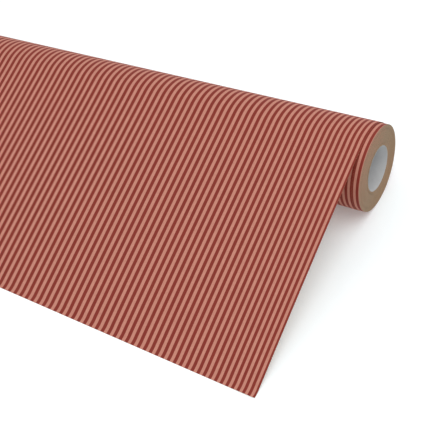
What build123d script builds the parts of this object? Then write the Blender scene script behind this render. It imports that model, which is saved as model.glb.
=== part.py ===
"""A roll of striped kraft gift wrap on a card core, with a length of the sheet pulled off it.

Millimetres. X runs along the roll's axis, the sheet is pulled off towards -Y, and +Z is up. The
origin is on the axis, halfway along the roll. The roll and the sheet's far edge rest on a surface
one roll radius below the axis.
"""
from build123d import *
import os
from math import cos, degrees, radians

os.makedirs("parts", exist_ok=True)

# the web of paper
web_width = 762.0  # a 30 inch roll
paper = 0.13  # thickness of one layer
roll_radius = 33.5  # outside of the outermost turn

# the card core, three plies glued together
core_radius = 19.05  # a 1 1/2 inch tube, measured outside
inner_ply = 0.4
middle_ply = 0.6
outer_ply = 0.4
glue_line = 0.05  # between one ply and the next
core_wall = inner_ply + middle_ply + outer_ply + 2 * glue_line
bore_radius = core_radius - core_wall

# the strip of tape that starts the paper on the core
tape = 0.1
tape_width = 6.0
tape_end_gap = 20.0  # bare core at each end of the strip

# the turns that turn with the core, inside the outermost one
layer_gap = 0.02  # air between the tape and the first turn
turning_gap = 0.3  # room for the roll to turn under the outermost turn
wound_inner_radius = core_radius + tape + layer_gap
wound_outer_radius = roll_radius - paper - turning_gap

# the outermost turn, and the sheet that runs from it down to the surface
web_shift = 5.5  # the pulled sheet has wandered this far towards -X
leave_angle = 19.3  # past the top of the roll, and the sheet's slope where it leaves
steepest_slope = 21.5  # where the sheet starts to flatten towards the surface
foot_radius = 20.0  # underside of the last, hollow stretch
tuck_gap = 1.5  # degrees between the turn's inner end and the line where the sheet leaves


def across(start_x):
    """Sketch plane square to the axis, with its x along +Y and its y along +Z."""
    return Plane.YZ.offset(start_x)


def from_axis(radius, angle):
    """Point at a radius from the axis, at an angle past the top towards -Y."""
    return Vector(radius, 0).rotate(Axis.Z, 90 + angle)


def save(piece, label):
    """Names a finished piece and writes its file."""
    piece.part.label = label
    export_step(piece.part, f"parts/{label}.step")


def tube(inner_radius, outer_radius):
    """A tube as long as the roll is wide."""
    with BuildPart() as piece:
        with BuildSketch(across(-web_width / 2)):
            Circle(outer_radius)
            Circle(inner_radius, mode=Mode.SUBTRACT)
        extrude(amount=web_width)
    return piece


def bent_strip(centre, inner_radius, thickness, start, sweep):
    """Edge-on outline of a strip bent to an arc: angles in degrees from +Y towards +Z."""
    with BuildSketch() as outline:
        with BuildLine():
            inner = CenterArc(centre, inner_radius, start, sweep)
            outer = CenterArc(centre, inner_radius + thickness, start, sweep)
            Line(inner @ 0, outer @ 0)
            Line(inner @ 1, outer @ 1)
        make_face()
    return outline.sketch


# ---- core: inner, middle and outer ply ----
core_inner_ply = tube(bore_radius, bore_radius + inner_ply)
save(core_inner_ply, "core_inner_ply")

middle_ply_radius = bore_radius + inner_ply + glue_line
core_middle_ply = tube(middle_ply_radius, middle_ply_radius + middle_ply)
save(core_middle_ply, "core_middle_ply")

core_outer_ply = tube(core_radius - outer_ply, core_radius)
save(core_outer_ply, "core_outer_ply")

# ---- pick-up tape: along the core, under the first turn ----
tape_sweep = degrees(tape_width / core_radius)
with BuildPart() as pickup_tape:
    with BuildSketch(across(-web_width / 2 + tape_end_gap)):
        add(bent_strip((0, 0), core_radius, tape, 90 - tape_sweep / 2, tape_sweep))
    extrude(amount=web_width - 2 * tape_end_gap)
save(pickup_tape, "pickup_tape")

# ---- wound paper: all turns but the outermost ----
wound_paper = tube(wound_inner_radius, wound_outer_radius)
save(wound_paper, "wound_paper")

# ---- outermost turn and the sheet pulled off it ----
# Three arcs that meet in line, given by their underside: the turn, the long and almost straight
# slope, and the foot. The slope's radius brings the foot down onto the surface.
turn_radius = roll_radius - paper
turn_sweep = 360 - tuck_gap
foot_rise = foot_radius * (1 - cos(radians(steepest_slope)))
slope_drop = roll_radius + turn_radius * cos(radians(leave_angle)) - foot_rise
slope_radius = slope_drop / (cos(radians(leave_angle)) - cos(radians(steepest_slope)))
slope_centre = from_axis(turn_radius - slope_radius, leave_angle)
slope_end = slope_centre + from_axis(slope_radius, steepest_slope)
foot_centre = slope_end + from_axis(foot_radius, steepest_slope)

with BuildPart() as unrolled_sheet:
    with BuildSketch(across(-web_width / 2 - web_shift)):
        add(bent_strip((0, 0), turn_radius, paper, 90 + leave_angle - turn_sweep, turn_sweep))
        add(bent_strip(slope_centre, slope_radius, paper, 90 + leave_angle, steepest_slope - leave_angle))
        add(bent_strip(foot_centre, foot_radius, -paper, 270, steepest_slope))
    extrude(amount=web_width)
save(unrolled_sheet, "unrolled_sheet")

# ---- lengths of paper, for the record ----
sheet_length = slope_radius * radians(steepest_slope - leave_angle) + foot_radius * radians(steepest_slope)
turn_length = turn_radius * radians(turn_sweep)
print(f"slope radius {slope_radius:.0f}, far edge {foot_centre.X:.1f} along Y from the axis")
print(f"sheet {sheet_length:.1f} long past the roll, {turn_length:.1f} round it")
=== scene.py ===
"""A roll of striped kraft gift wrap on a card core, with a length of the sheet pulled off it.

Metres. X runs along the roll's axis, the sheet is pulled off towards -Y, and +Z is up. The roll and
the sheet's far edge rest on a surface one roll radius below the axis.
"""
import math

import bmesh
import bpy
import numpy as np
from mathutils import Matrix, Vector


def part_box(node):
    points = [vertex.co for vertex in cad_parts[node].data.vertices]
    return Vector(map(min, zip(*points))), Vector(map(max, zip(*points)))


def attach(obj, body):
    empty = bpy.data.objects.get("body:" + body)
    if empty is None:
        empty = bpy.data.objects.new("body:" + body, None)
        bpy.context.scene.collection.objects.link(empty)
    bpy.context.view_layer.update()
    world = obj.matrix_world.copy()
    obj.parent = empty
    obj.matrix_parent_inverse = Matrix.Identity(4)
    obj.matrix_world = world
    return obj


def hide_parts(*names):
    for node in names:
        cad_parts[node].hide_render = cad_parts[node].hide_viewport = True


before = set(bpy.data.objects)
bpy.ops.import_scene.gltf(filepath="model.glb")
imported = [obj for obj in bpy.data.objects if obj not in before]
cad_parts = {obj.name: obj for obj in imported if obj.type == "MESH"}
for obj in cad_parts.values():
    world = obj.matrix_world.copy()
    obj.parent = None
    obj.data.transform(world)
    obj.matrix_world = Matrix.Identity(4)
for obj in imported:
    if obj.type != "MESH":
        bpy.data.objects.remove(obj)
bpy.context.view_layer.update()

# ---------------------------------------------------------------- sizes

MM = 0.001
random = np.random.default_rng(7)

sheet_low, sheet_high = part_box("unrolled_sheet")
wound_low, wound_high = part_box("wound_paper")

roll_radius = -sheet_low.z
paper = 0.13 * MM  # thickness of one layer
air = 0.003 * MM  # between one wound layer and the next
layer_pitch = paper + air

# the outermost turn, and the sheet that runs from it down to the surface
turn_radius = roll_radius - paper  # underside of the turn
tuck_angle = math.radians(9)  # the turn's inner end is tucked in this far under the sheet
leave_angle = math.radians(19.3)  # past the top of the roll, and the sheet's slope where it leaves
steepest_slope = math.radians(21.5)  # where the sheet starts to flatten towards the surface
foot_radius = 20 * MM  # underside of the last, hollow stretch
askew = 0.8 * MM  # how far the far edge stands towards +X of where the sheet leaves the roll
corner_spring = 0.7 * MM  # how far the far corners have sprung up
corner_reach = 45 * MM  # along the far edge, from each corner
waves = ((0.5 * MM, 5), (0.35 * MM, 9), (0.2 * MM, 17))  # heights, and knots across the sheet

# the wound paper, which turns inside the outermost turn
turning_play = 0.02 * MM  # between the two
wound_back = math.tau + math.radians(140)  # from the leave line back to its outer end, behind
end_wander = ((0.05 * MM, 1), (0.07 * MM, 6))  # how uneven its edges are, and over how many turns
end_inset = 0.12 * MM  # of its edges, on average, from the ends of the roll

# the card core
core_radius = 19.05 * MM
inner_ply = 0.4 * MM
middle_ply = 0.6 * MM
outer_ply = 0.4 * MM
glue_line = 0.05 * MM
bore_radius = core_radius - inner_ply - middle_ply - outer_ply - 2 * glue_line
ply_lead = 71 * MM  # how far a strip of card moves along the core in one turn
ply_seam = 0.35 * MM  # open gap between one turn of a strip and the next
first_turn_radius = core_radius + 0.15 * MM  # over the tape

# the print
stripe_pitch = 6.4 * MM  # over most of the web
edge_pitch = 4.0 * MM  # the stripes stand closer together towards the right edge
pitch_reach = 120 * MM  # how far in from that edge the difference has mostly gone
stripe_share = 0.52  # of the pitch that is printed
sheet_first_stripe = 0.38  # share of a pitch printed along the pulled sheet's edge
ink_bleed = 0.03  # share of a pitch over which a stripe's edge fades
roll_margin = 0.1  # share of a pitch left bare along the wound paper's edge


# ---------------------------------------------------------------- meshes


def closed_sheet(name, under, over, finishes, across=None):
    """A thin closed solid between two grids of points, rows by columns.

    The finishes are the upper side's, the underside's and the cut edges'. The columns' places across
    the flat web, if given, are kept with the points for the print to follow.
    """
    rows, columns, _ = over.shape
    count = rows * columns
    index = np.arange(count).reshape(rows, columns)
    quads = np.stack([index[:-1, :-1], index[1:, :-1], index[1:, 1:], index[:-1, 1:]], -1).reshape(-1, 4)
    border = np.concatenate([index[0, :-1], index[:-1, -1], index[-1, :0:-1], index[:0:-1, 0]])
    after = np.roll(border, -1)
    walls = np.stack([border, after, after + count, border + count], -1)
    faces = np.concatenate([quads + count, quads[:, ::-1], walls])
    points = np.concatenate([under.reshape(-1, 3), over.reshape(-1, 3)])
    mesh = bpy.data.meshes.new(name)
    mesh.from_pydata(points.tolist(), [], faces.tolist())
    for finish in finishes:
        mesh.materials.append(finish)
    kinds = np.repeat([0, 1, 2], [len(quads), len(quads), len(walls)])
    mesh.polygons.foreach_set("material_index", kinds.astype(np.int32))
    mesh.polygons.foreach_set("use_smooth", kinds < 2)
    # the two sides' shading stops at the cut edges
    loop_edges = np.empty(len(mesh.loops), np.int32)
    mesh.loops.foreach_get("edge_index", loop_edges)
    crease = np.zeros(len(mesh.edges), bool)
    crease[loop_edges[-4 * len(walls) :]] = True
    mesh.edges.foreach_set("use_edge_sharp", crease)
    if across is not None:
        printed = mesh.attributes.new("across_web", "FLOAT", "POINT")
        printed.data.foreach_set("value", np.tile(across, 2 * rows).astype(np.float32))
    mesh.update()
    piece = bpy.data.objects.new(name, mesh)
    bpy.context.scene.collection.objects.link(piece)
    return piece


def around(radius, angle):
    """Points (y, z) at a radius from the axis and an angle past the top, towards -Y."""
    return np.stack([-radius * np.sin(angle), radius * np.cos(angle)], -1)


def extruded(profile, across):
    """Grid of a profile's points (y, z), repeated at each x in across."""
    grid = np.empty((len(profile), len(across), 3))
    grid[:, :, 0] = across
    grid[:, :, 1:] = profile[:, None, :]
    return grid


def smooth_noise(size, knots, generator):
    """Random values from -1 to 1 at so many knots, joined smoothly into a line of size points."""
    values = generator.uniform(-1, 1, knots + 1)
    place = np.linspace(0, knots, size)
    low = np.minimum(place.astype(int), knots - 1)
    share = place - low
    share = share * share * (3 - 2 * share)
    return values[low] * (1 - share) + values[low + 1] * share


# ---------------------------------------------------------------- finishes


class Value:
    """A node's output that arithmetic works on: each operator adds a Math node."""

    def __init__(self, tree, socket):
        self.tree = tree
        self.socket = socket

    def node(self, kind, sockets, output=0, stops=(), **settings):
        """Adds a node: its settings and ramp stops first, then its sockets' values or links."""
        made = self.tree.nodes.new(kind)
        for key, setting in settings.items():
            setattr(made, key, setting)
        for number, (place, shade) in enumerate(stops):
            points = made.color_ramp.elements
            point = points[number] if number < len(points) else points.new(place)
            point.position = place
            point.color = (shade, shade, shade, 1)
        for key, value in sockets.items():
            if isinstance(value, Value):
                self.tree.links.new(value.socket, made.inputs[key])
            else:
                made.inputs[key].default_value = value
        return Value(self.tree, made.outputs[output])

    def math(self, operation, *values):
        return self.node("ShaderNodeMath", dict(enumerate(values)), operation=operation)

    def __add__(self, other):
        return self.math("ADD", self, other)

    def __radd__(self, other):
        return self.math("ADD", other, self)

    def __sub__(self, other):
        return self.math("SUBTRACT", self, other)

    def __rsub__(self, other):
        return self.math("SUBTRACT", other, self)

    def __mul__(self, other):
        return self.math("MULTIPLY", self, other)

    def __rmul__(self, other):
        return self.math("MULTIPLY", other, self)

    def clamped(self):
        return self.node("ShaderNodeClamp", {"Value": self})


class Finish:
    """A material in the making, with the piece's own coordinates at hand."""

    def __init__(self, name, roughness, specular):
        self.material = bpy.data.materials.new(name)
        self.material.use_nodes = True
        tree = self.material.node_tree
        self.shader = tree.nodes["Principled BSDF"]
        self.shader.inputs["Roughness"].default_value = roughness
        self.shader.inputs["Specular IOR Level"].default_value = specular
        self.start = Value(tree, None)
        self.place = self.start.node("ShaderNodeTexCoord", {}, output="Object")

    def feed(self, socket, value):
        """Links a value to one of the shader's sockets."""
        self.start.tree.links.new(value.socket, self.shader.inputs[socket])

    def axis(self, letter):
        """One of the piece's own coordinates."""
        return self.start.node("ShaderNodeSeparateXYZ", {"Vector": self.place}, output=letter)

    def noise(self, grain, detail=2.0, roughness=0.5):
        """Noise from 0 to 1 with a grain of so many metres along X, Y and Z."""
        scale = tuple(1 / size for size in grain)
        stretched = self.start.node(
            "ShaderNodeVectorMath", {0: self.place, 1: scale}, operation="MULTIPLY"
        )
        sockets = {"Vector": stretched, "Scale": 1.0, "Detail": detail, "Roughness": roughness}
        return self.start.node("ShaderNodeTexNoise", sockets, output="Fac")

    def ramp(self, value, *stops):
        """A value passed through a ramp of (place, level) stops."""
        return self.start.node("ShaderNodeValToRGB", {"Fac": value}, stops=stops)

    def mix(self, share, first, second, how="MIX"):
        """First colour where share is 0 and second where it is 1."""
        sockets = {"Factor": share, 6: first, 7: second}
        settings = {"data_type": "RGBA", "blend_type": how}
        return self.start.node("ShaderNodeMix", sockets, output=2, **settings)

    def bump(self, height, depth):
        """Raises the surface by a height from 0 to 1 times a depth in metres."""
        sockets = {"Height": height, "Distance": depth, "Strength": 1.0}
        self.feed("Normal", self.start.node("ShaderNodeBump", sockets))


def rgb(red, green, blue):
    """A colour given as it looks on a screen, 0 to 255, as the shader's linear values."""
    channels = [c / 255 for c in (red, green, blue)]
    return tuple(c / 12.92 if c < 0.04045 else ((c + 0.055) / 1.055) ** 2.4 for c in channels) + (1,)


def kraft_colour(finish, light, dark):
    """Unbleached paper: clouded pulp, pale and dark fibres lying both ways, and a few flecks."""
    cloud = finish.noise((9 * MM, 9 * MM, 9 * MM), detail=3.0)
    along = finish.noise((2.4 * MM, 0.3 * MM, 0.3 * MM), detail=1.0)
    across = finish.noise((0.3 * MM, 2.6 * MM, 2.6 * MM), detail=1.0)
    fleck = finish.ramp(finish.noise((0.7 * MM, 0.9 * MM, 0.9 * MM), detail=1.0), (0.7, 0), (0.78, 1))
    fibre = finish.ramp((along + across) * 0.5, (0.36, 1), (0.64, 0))
    shade = (cloud * 0.35 + fibre * 0.45 + fleck * 0.25).clamped()
    return finish.mix(shade, light, dark), fibre


def printed_kraft(name, edge_x, first_centre):
    """Kraft paper printed with stripes along the web.

    edge_x is the web's right edge, and first_centre the middle of its first stripe, in pitches. The
    stripes are counted inwards from that edge, with the pitch growing from edge_pitch to stripe_pitch.
    """
    finish = Finish(name, 0.72, 0.25)
    kraft, fibre = kraft_colour(finish, rgb(201, 138, 121), rgb(170, 108, 92))
    inward = edge_x - finish.start.node(
        "ShaderNodeAttribute", {}, output="Fac", attribute_name="across_web"
    )
    growth = inward.math("EXPONENT", inward * (1 / pitch_reach))
    narrowing = stripe_pitch - edge_pitch
    spread = growth * (stripe_pitch / edge_pitch) - narrowing / edge_pitch
    count = inward.math("LOGARITHM", spread, math.e) * (pitch_reach / stripe_pitch)
    ragged = (finish.noise((0.35 * MM, 0.35 * MM, 0.35 * MM)) - 0.5) * 0.04
    off_centre = inward.math("PINGPONG", count - first_centre, 0.5) + ragged
    stripe = ((stripe_share / 2 - off_centre) * (1 / ink_bleed) + 0.5).clamped()
    wear = finish.ramp(finish.noise((0.5 * MM, 0.5 * MM, 0.5 * MM), detail=3.0), (0.6, 0), (0.74, 1))
    cover = stripe * (0.99 - wear * 0.08 - fibre * 0.03)
    depth = finish.noise((14 * MM, 14 * MM, 14 * MM), detail=3.0)
    ink = finish.mix(depth, rgb(120, 36, 25), rgb(130, 41, 29))
    finish.feed("Base Color", finish.mix(cover, kraft, ink))
    finish.feed("Roughness", 0.78 - stripe * 0.1)
    finish.bump(fibre * 0.6 + finish.noise((0.12 * MM, 0.12 * MM, 0.12 * MM)) * 0.4, 0.012 * MM)
    return finish.material


def plain_kraft():
    """The unprinted side."""
    finish = Finish("plain_kraft", 0.8, 0.2)
    kraft, fibre = kraft_colour(finish, rgb(186, 150, 118), rgb(150, 116, 86))
    finish.feed("Base Color", kraft)
    finish.bump(fibre, 0.015 * MM)
    return finish.material


def wound_edges():
    """Cut edges of the wound layers, each a little lighter or darker than the next."""
    finish = Finish("wound_paper_edges", 0.88, 0.15)
    y, z = finish.axis("Y"), finish.axis("Z")
    radius = y.math("SQRT", y * y + z * z)
    layer = finish.start.node(
        "ShaderNodeTexNoise",
        {"W": radius * (1 / (0.3 * MM)), "Scale": 1.0, "Detail": 2.0},
        output="Fac",
        noise_dimensions="1D",
    )
    band = finish.start.node(
        "ShaderNodeTexNoise",
        {"W": radius * (1 / (2.2 * MM)), "Scale": 1.0, "Detail": 1.0},
        output="Fac",
        noise_dimensions="1D",
    )
    cloud = finish.noise((3 * MM, 3 * MM, 3 * MM), detail=3.0)
    shade = (layer * 0.5 + band * 0.3 + cloud * 0.35 - 0.1).clamped()
    finish.feed("Base Color", finish.mix(shade, rgb(157, 135, 111), rgb(122, 100, 80)))
    finish.bump(finish.noise((0.1 * MM, 0.1 * MM, 0.1 * MM)), 0.02 * MM)
    return finish.material


def card(name, light, dark, fleck_dark):
    """Uncoated card: pulp clouds, short fibres and recycled flecks."""
    finish = Finish(name, 0.85, 0.2)
    cloud = finish.noise((6 * MM, 6 * MM, 6 * MM), detail=4.0)
    fibre = finish.noise((1.2 * MM, 0.25 * MM, 0.25 * MM), detail=1.0)
    fleck = finish.ramp(finish.noise((0.5 * MM, 0.5 * MM, 0.5 * MM), detail=1.0), (0.7, 0), (0.76, 1))
    shade = finish.mix((cloud * 0.5 + fibre * 0.5).clamped(), light, dark)
    finish.feed("Base Color", finish.mix(fleck * 0.5, shade, fleck_dark))
    finish.bump(fibre * 0.5 + cloud * 0.5, 0.03 * MM)
    return finish.material


def tape_film():
    """Thin double-sided tape, cloudy where its glue has wetted the card."""
    finish = Finish("tape_film", 0.35, 0.5)
    cloud = finish.noise((4 * MM, 2 * MM, 2 * MM), detail=3.0)
    finish.feed("Base Color", finish.mix(cloud, rgb(222, 214, 186), rgb(200, 190, 160)))
    finish.feed("Roughness", 0.3 + cloud * 0.25)
    return finish.material


# ---------------------------------------------------------------- pieces

roll_print = printed_kraft("roll_print", wound_high.x, roll_margin + stripe_share / 2)
sheet_print = printed_kraft("sheet_print", sheet_high.x, sheet_first_stripe - stripe_share / 2)
paper_back = plain_kraft()
paper_edges = wound_edges()


def wound_web():
    """All turns but the outermost: one strip of paper in a spiral, its edges a little uneven."""
    steps = 180  # points in a turn
    last_radius = turn_radius - layer_pitch * wound_back / math.tau - paper - turning_play
    turns = (last_radius - first_turn_radius) / layer_pitch
    last_angle = leave_angle - wound_back
    turn = np.linspace(0, turns, round(turns * steps) + 1)
    angle = last_angle + (turn - turns) * math.tau
    radius = first_turn_radius + layer_pitch * turn
    wander = sum(size * smooth_noise(len(turn), round(turns / span), random) for size, span in end_wander)
    wander -= wander[-1] * (turn / turns) ** 8  # the last turn ends true
    edges = np.array([wound_low.x, wound_high.x])
    inset = np.array([end_inset, -end_inset])
    grids = []
    for face in (radius, radius + paper):
        grid = extruded(around(face, angle), edges)
        grid[:, :, 0] += wander[:, None] + inset
        grids.append(grid)
    return closed_sheet("wound_web", *grids, [roll_print, paper_back, paper_edges], edges)


def sheet_profile():
    """The sheet's path from its tucked end to the far edge.

    Gives the underside's points (y, z), the direction (y, z) through the paper at each, and how many
    of them are on the roll.
    """
    turn_steps = 240
    slope_steps = 60
    foot_steps = 24

    turn_angle = np.linspace(leave_angle - tuck_angle - math.tau, leave_angle, turn_steps + 1)
    turn_face = turn_radius - layer_pitch * (leave_angle - turn_angle) / math.tau

    foot_rise = foot_radius * (1 - math.cos(steepest_slope))
    slope_drop = roll_radius + turn_radius * math.cos(leave_angle) - foot_rise
    slope_radius = slope_drop / (math.cos(leave_angle) - math.cos(steepest_slope))
    slope_centre = around(turn_radius - slope_radius, leave_angle)
    slope_angle = np.linspace(leave_angle, steepest_slope, slope_steps + 1)[1:]

    foot_centre = slope_centre + around(slope_radius + foot_radius, steepest_slope)
    foot_angle = np.linspace(steepest_slope, 0, foot_steps + 1)[1:]

    angle = np.concatenate([turn_angle, slope_angle, foot_angle])
    profile = [
        around(turn_face, turn_angle),
        slope_centre + around(slope_radius, slope_angle),
        foot_centre - around(foot_radius, foot_angle),
    ]
    return np.concatenate(profile), around(1.0, angle), len(turn_angle)


def pulled_sheet():
    """The outermost turn and the sheet that runs from it down to the surface."""
    columns = 97  # points across the web
    profile, outward, on_roll = sheet_profile()
    across = np.linspace(sheet_low.x, sheet_high.x, columns)
    under = extruded(profile, across)
    normal = extruded(outward, np.zeros(columns))

    # the free part is not quite flat: long, shallow waves that die out at both ends
    free = len(profile) - on_roll
    run = np.linspace(0, 1, free + 1)[1:]
    swell = np.sin(math.pi * run) ** 1.2
    wave = np.zeros((free, columns))
    for height, knots in waves:
        along = smooth_noise(free, 2, random) + 0.6
        sideways = smooth_noise(columns, knots, random)
        wave += height * np.outer(along, sideways)
    under[on_roll:] += normal[on_roll:] * (swell[:, None] * wave)[:, :, None]

    # it was pulled off a little askew
    under[on_roll:, :, 0] += askew * run[:, None]

    # the far corners have sprung up a little, over the last quarter of the run
    from_end = np.minimum(across - across[0], across[-1] - across) / corner_reach
    corner = np.clip(1 - from_end, 0, 1) ** 2
    last_quarter = np.clip(run * 4 - 3, 0, 1) ** 2
    under[on_roll:, :, 2] += corner_spring * np.outer(last_quarter, corner)

    finishes = [sheet_print, paper_back, paper_back]
    return closed_sheet("pulled_sheet", under, under + normal * paper, finishes, across)


def ply(name, radius, thickness, start, finishes):
    """One ply of the core: a strip of card wound in a helix, cut square at both ends.

    start is where its seam begins, as a share of the lead.
    """
    steps = 96  # points in a turn
    turns = math.ceil((wound_high.x - wound_low.x) / ply_lead) + 2  # what is spare is cut off
    angle = np.linspace(0, turns * math.tau, turns * steps + 1)
    left = wound_low.x + (start - 2 + angle / math.tau) * ply_lead
    grids = []
    for face in (radius, radius + thickness):
        grid = extruded(around(face, angle), [0, 0])
        grid[:, :, 0] = left[:, None] + np.array([0, ply_lead - ply_seam])
        grids.append(grid)
    piece = closed_sheet(name, *grids, finishes)
    trim_ends(piece, wound_low.x, wound_high.x)
    return piece


def trim_ends(piece, low_x, high_x):
    """Cuts a piece square at two places along X and closes the cuts."""
    shape = bmesh.new()
    shape.from_mesh(piece.data)
    for place, side in ((low_x, -1), (high_x, 1)):
        everything = shape.verts[:] + shape.edges[:] + shape.faces[:]
        cut = bmesh.ops.bisect_plane(
            shape,
            geom=everything,
            dist=0.001 * MM,
            plane_co=(place, 0, 0),
            plane_no=(side, 0, 0),
            clear_outer=True,
        )
        rim = [item for item in cut["geom_cut"] if isinstance(item, bmesh.types.BMEdge)]
        for face in bmesh.ops.contextual_create(shape, geom=rim)["faces"]:
            face.smooth = False
            face.material_index = 2
        for edge in rim:
            edge.smooth = False
    bmesh.ops.triangulate(shape, faces=[face for face in shape.faces if len(face.verts) > 4])
    bmesh.ops.recalc_face_normals(shape, faces=shape.faces[:])
    shape.to_mesh(piece.data)
    shape.free()


web = wound_web()
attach(web, "roll")
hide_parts("wound_paper")

sheet = pulled_sheet()
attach(sheet, "sheet")
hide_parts("unrolled_sheet")

# the bore's side is white, and the rest of the core is grey-brown board
liner = card("core_liner", rgb(204, 204, 204), rgb(187, 187, 188), rgb(164, 163, 162))
board = card("core_board", rgb(160, 134, 108), rgb(128, 104, 82), rgb(96, 80, 66))
ply_radius = bore_radius
for name, thickness, start, bore_side, material_slot in (
    ("core_inner_ply", inner_ply, 0.54, liner, "core_liner"),
    ("core_middle_ply", middle_ply, 0.85, board, "core_board"),
    ("core_outer_ply", outer_ply, 0.2, board, "core_board"),
):
    strip = ply(name + "_strip", ply_radius, thickness, start, [board, bore_side, board])
    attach(strip, "roll")
    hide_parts(name)
    ply_radius += thickness + glue_line

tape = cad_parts["pickup_tape"]
tape.data.materials.clear()
tape.data.materials.append(tape_film())

# ---------------------------------------------------------------- floor, light and camera

floor_reach = 3.0  # from the roll's middle to each side of the floor
floor_gap = 0.02 * MM  # between the floor and the paper on it
floor_glow = 0.15  # light that comes up through the floor, as on a lit table
room_light = 0.84
white = (1, 1, 1, 1)


def lit_floor():
    """A plain pale floor, a little clouded, that glows softly."""
    finish = Finish("floor_white", 0.9, 0.1)
    cloud = finish.noise((0.5, 0.5, 0.5))
    finish.feed("Base Color", finish.mix(cloud, (0.90, 0.955, 0.975, 1), (0.88, 0.935, 0.955, 1)))
    finish.shader.inputs["Emission Color"].default_value = white
    finish.shader.inputs["Emission Strength"].default_value = floor_glow
    corners = [(x * floor_reach, y * floor_reach, 0) for x, y in ((-1, -1), (1, -1), (1, 1), (-1, 1))]
    mesh = bpy.data.meshes.new("floor")
    mesh.from_pydata(corners, [], [(0, 1, 2, 3)])
    mesh.materials.append(finish.material)
    floor = bpy.data.objects.new("floor", mesh)
    floor.location.z = -roll_radius - floor_gap
    bpy.context.scene.collection.objects.link(floor)
    return floor


lit_floor()

world = bpy.data.worlds.new("studio")
world.use_nodes = True
world.node_tree.nodes["Background"].inputs["Color"].default_value = white
world.node_tree.nodes["Background"].inputs["Strength"].default_value = room_light
bpy.context.scene.world = world


def softbox(name, place, aim, size, power):
    """A square area light at a place, turned to face a point."""
    light = bpy.data.lights.new(name, "AREA")
    light.size = size
    light.energy = power
    box = bpy.data.objects.new(name, light)
    box.location = place
    box.rotation_euler = (Vector(aim) - Vector(place)).to_track_quat("-Z", "Y").to_euler()
    bpy.context.scene.collection.objects.link(box)


softbox("key", (0.9, -0.2, 1.9), aim=(0.2, -0.1, 0), size=1.6, power=13.6)

# the camera looks down on the roll's end from the sheet's side, turned a little on its own axis
view_azimuth = math.radians(42.6)
view_elevation = math.radians(45.89)
view_turn = math.radians(-15.74)
view_from_end = Vector((5.489, -11.446, 12.509)) * roll_radius  # from the middle of the roll's right end

level = Vector((math.cos(view_azimuth), math.sin(view_azimuth), 0))
towards = Vector((math.sin(view_azimuth), -math.cos(view_azimuth), 0))
back = towards * math.cos(view_elevation) + Vector((0, 0, math.sin(view_elevation)))
upright = back.cross(level)
right = level * math.cos(view_turn) + upright * math.sin(view_turn)
up = upright * math.cos(view_turn) - level * math.sin(view_turn)

camera = bpy.data.objects.new("camera", bpy.data.cameras.new("camera"))
camera.data.sensor_width = 36.0
camera.data.lens = 66.7
facing = Matrix((right, up, back)).transposed().to_4x4()
camera.matrix_world = Matrix.Translation(Vector((wound_high.x, 0, 0)) + view_from_end) @ facing
bpy.context.scene.collection.objects.link(camera)
bpy.context.scene.camera = camera
bpy.context.scene.view_settings.view_transform = "Standard"

bpy.context.view_layer.update()
